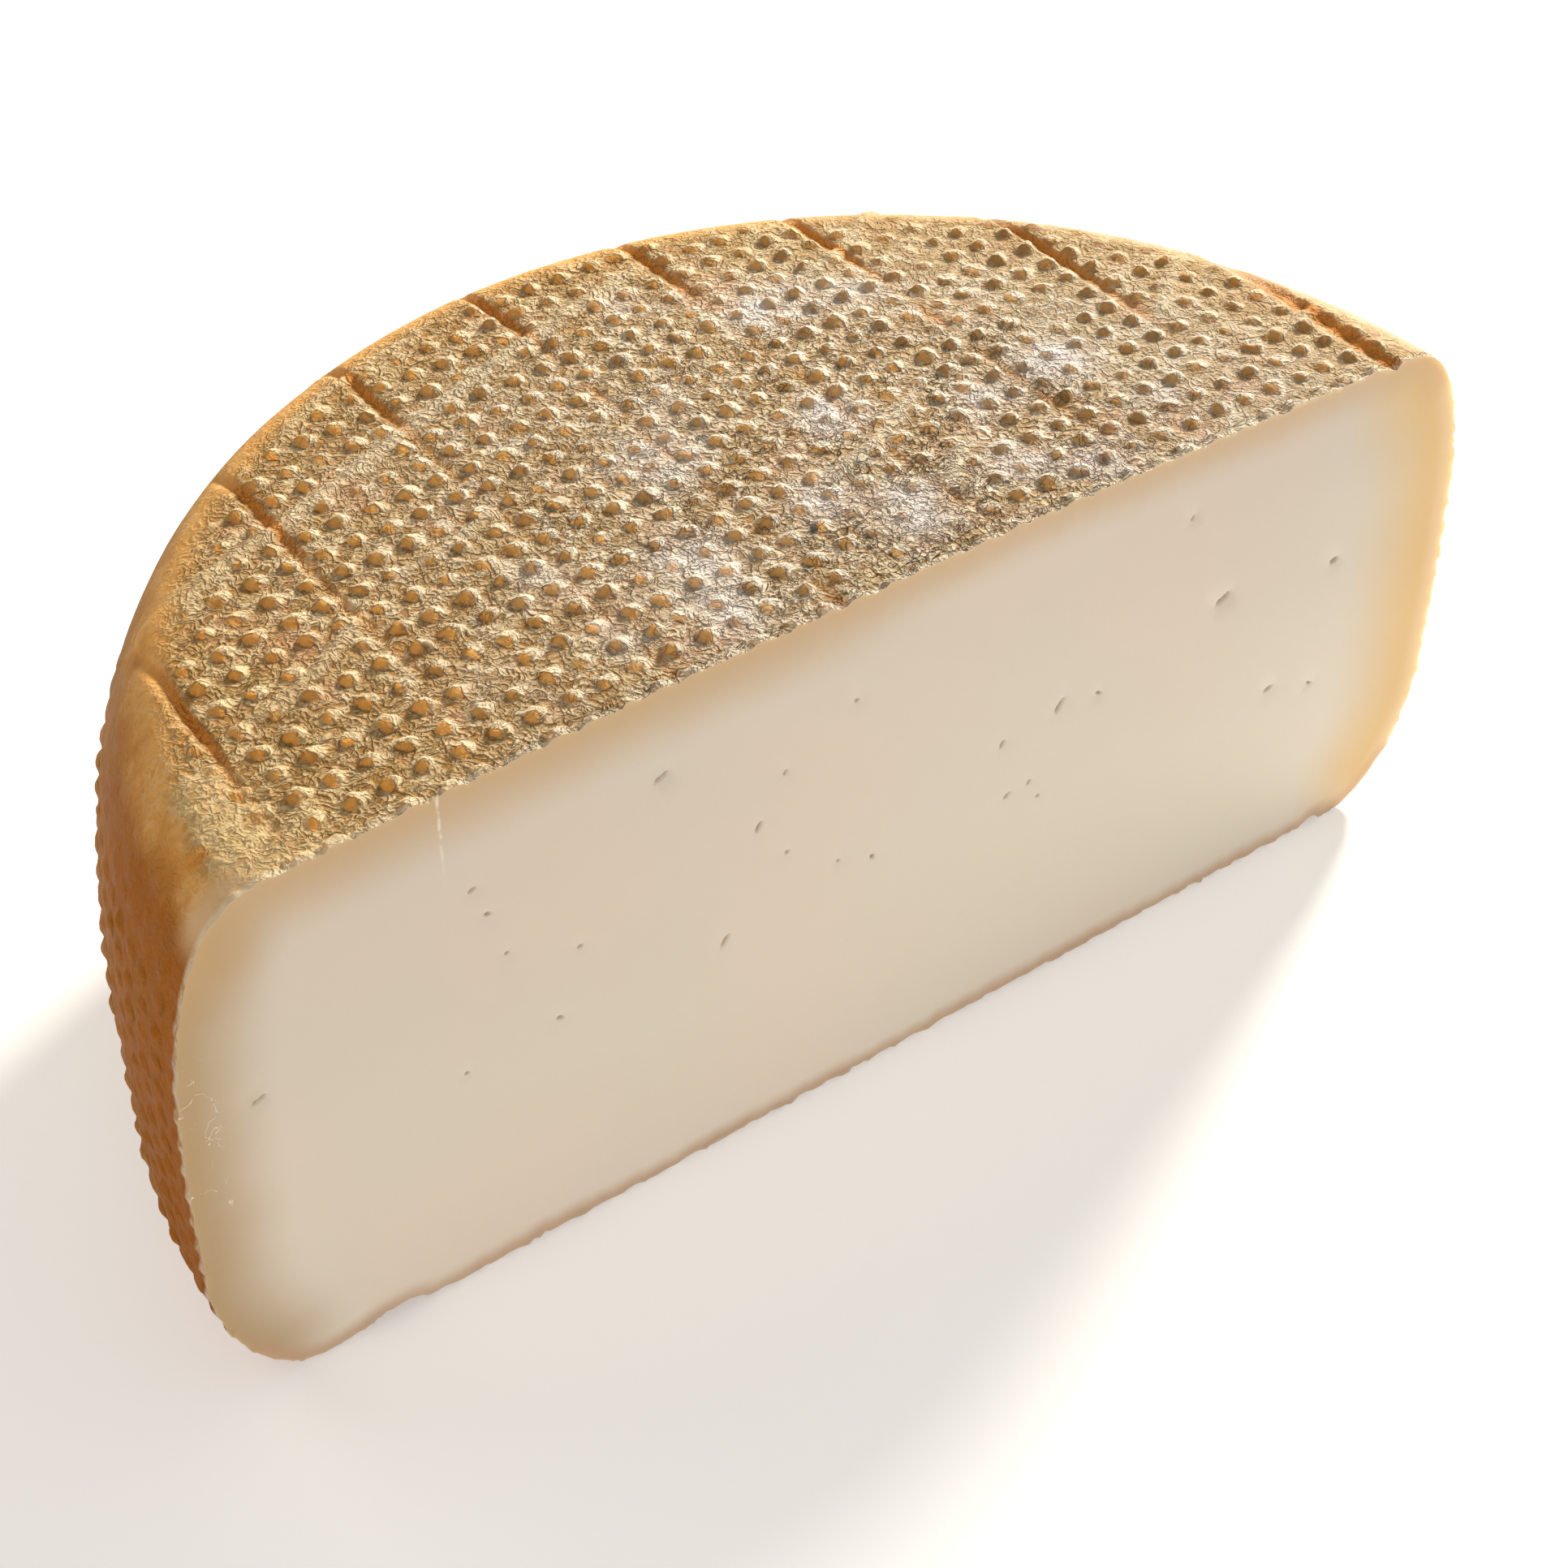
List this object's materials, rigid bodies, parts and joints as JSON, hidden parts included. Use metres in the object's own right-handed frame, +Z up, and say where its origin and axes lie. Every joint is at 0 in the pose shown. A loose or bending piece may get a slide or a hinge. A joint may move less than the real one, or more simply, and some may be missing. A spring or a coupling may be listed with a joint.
{
  "type": "half cheese wheel",
  "caption": "Half of a pressed cheese wheel with a knobbly natural rind, cut upright to show its smooth pale paste, resting on its flat base.",
  "frame": {"origin": "middle of the bounding box, on the surface that the half wheel rests on", "axes": "+Z up along the wheel's axis, +X along the cut, -Y out of the cut face"},
  "size_m": [0.2398, 0.116, 0.101],
  "materials": {
    "cheese": "natural moulded rind, dry and matt, ochre to amber with white mould bloom; cut face of smooth ivory paste with a soft waxy sheen"
  },
  "bodies": {
    "root": {"cheese_half": "cheese"}
  },
  "joints": []
}
